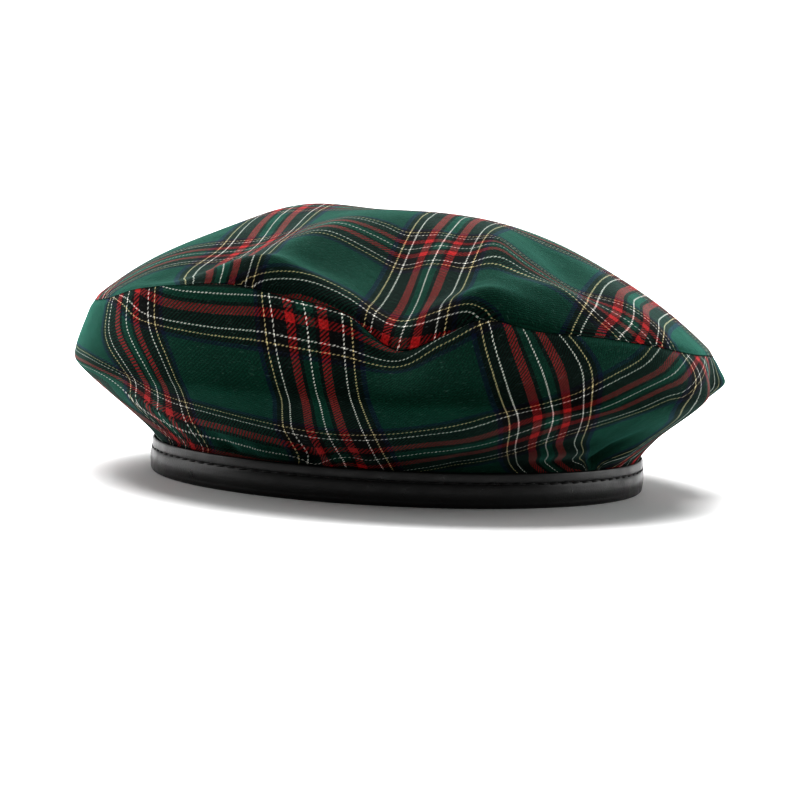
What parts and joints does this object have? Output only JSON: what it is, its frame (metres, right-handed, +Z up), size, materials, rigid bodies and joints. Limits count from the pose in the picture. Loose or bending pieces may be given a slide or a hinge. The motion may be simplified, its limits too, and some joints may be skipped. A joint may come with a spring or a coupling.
{
  "type": "tam o shanter",
  "caption": "Wide, softly puffed tartan beret crown of a round top panel and a side panel, over a narrow black leather headband; open underneath for the head.",
  "frame": {"origin": "middle of the hat's outline seen from above, at the foot of the headband, which rests on the surface", "axes": "+Z up, +X to the wearer's right-hand side as seen from the front of the picture, +Y from the picture's front to the back of the hat"},
  "size_m": [0.2626, 0.2526, 0.1092],
  "materials": {
    "tartan_top": "matte",
    "tartan_side": "matte",
    "black_leather": "glossy"
  },
  "bodies": {
    "root": {"crown_top": "tartan_top", "crown_side": "tartan_side", "headband": "black_leather"}
  },
  "joints": []
}
